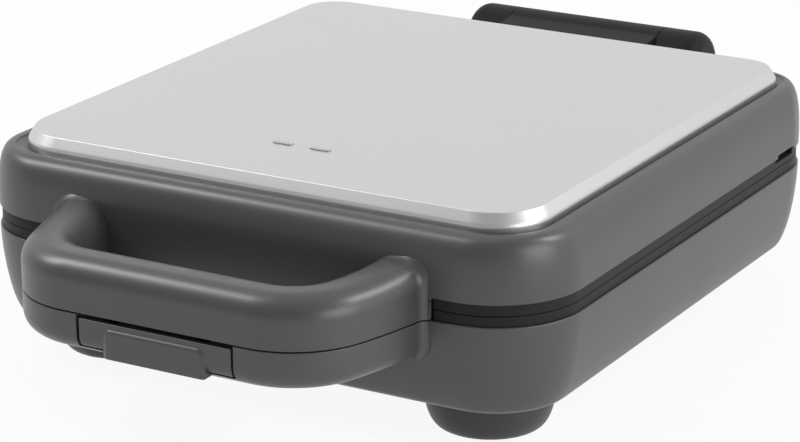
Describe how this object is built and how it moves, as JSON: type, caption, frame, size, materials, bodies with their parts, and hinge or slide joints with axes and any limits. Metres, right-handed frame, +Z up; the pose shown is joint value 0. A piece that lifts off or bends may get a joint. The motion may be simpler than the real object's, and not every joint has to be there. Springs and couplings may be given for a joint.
{
  "type": "sandwich toaster",
  "caption": "Countertop sandwich toaster: hinged lid with steel cover, cooking plates with diagonal pockets, D-shaped handle in two halves, front latch and rounded feet.",
  "frame": {"origin": "on the table under the middle of the closed toaster's bounding box", "axes": "+X to the right across the front, +Y from the handle to the hinge, +Z up"},
  "size_m": [0.2768, 0.3996, 0.1047],
  "materials": {
    "housing_plastic": "satin metallic grey moulding with a fine grain",
    "hinge_plastic": "satin dark grey moulding",
    "bezel_plastic": "satin black moulding",
    "cover_steel": "fine satin steel sheet",
    "plate_coating": "non-stick coating on cast aluminium",
    "element_sheath": "dull drawn tube",
    "shield_sheet": "pressed bright sheet",
    "lens_plastic": "milky translucent moulding",
    "holder_plastic": "heat-resistant moulding",
    "lamp_glass": "small neon lamp",
    "fastener_steel": "zinc-plated steel",
    "pin_steel": "ground steel",
    "spring_steel": "drawn spring wire",
    "wire_sleeve": "glass-fibre sleeved wire",
    "foot_plastic": "satin dark grey moulding",
    "foot_rubber": "matt black rubber",
    "ceramic": "glazed ceramic"
  },
  "bodies": {
    "base": {"lower_housing": "housing_plastic", "lower_bezel": "bezel_plastic", "lower_plate": "plate_coating", "lower_element": "element_sheath", "lower_reflector": "shield_sheet", "lower_handle": "housing_plastic", "latch_catch": "pin_steel", "hinge_bracket_left": "hinge_plastic", "hinge_bracket_right": "hinge_plastic", "hinge_pin": "pin_steel", "hinge_screws": "fastener_steel", "lower_plate_nuts": "fastener_steel", "lower_bezel_screws": "fastener_steel", "lower_handle_screws": "fastener_steel", "lower_shield_screws": "fastener_steel", "foot_front_left": "foot_plastic", "foot_front_right": "foot_plastic", "foot_rear_left": "foot_plastic", "foot_rear_right": "foot_plastic", "foot_pads": "foot_rubber", "foot_screws": "fastener_steel", "thermostat": "ceramic", "thermal_fuse": "ceramic", "terminal_block": "ceramic", "cord_gland": "foot_rubber", "lower_wiring": "wire_sleeve"},
    "lid": {"top_cover": "cover_steel", "upper_housing": "housing_plastic", "upper_bezel": "bezel_plastic", "upper_plate": "plate_coating", "upper_element": "element_sheath", "upper_reflector": "shield_sheet", "upper_handle": "housing_plastic", "power_lens": "lens_plastic", "ready_lens": "lens_plastic", "lamp_holder": "holder_plastic", "power_lamp": "lamp_glass", "ready_lamp": "lamp_glass", "hinge_arm": "hinge_plastic", "hinge_arm_screws": "fastener_steel", "upper_plate_nuts": "fastener_steel", "upper_bezel_screws": "fastener_steel", "upper_handle_screws": "fastener_steel", "upper_shield_screws": "fastener_steel", "lamp_holder_screws": "fastener_steel", "upper_wiring": "wire_sleeve", "latch_pin": "pin_steel", "latch_spring": "spring_steel"},
    "latch": {"latch": "housing_plastic"}
  },
  "joints": [
    {"name": "lid_hinge", "type": "hinge", "parent": "base", "child": "lid", "pos_m": [0, 0.1828, 0.079], "axis": [-1, 0, 0], "range_deg": [0, 105]},
    {"name": "latch_pivot", "type": "hinge", "parent": "lid", "child": "latch", "pos_m": [0, -0.1927, 0.0648], "axis": [-1, 0, 0], "range_deg": [0, 15], "stiffness_Nm_per_rad": 0.02, "springref_deg": -17.19}
  ]
}
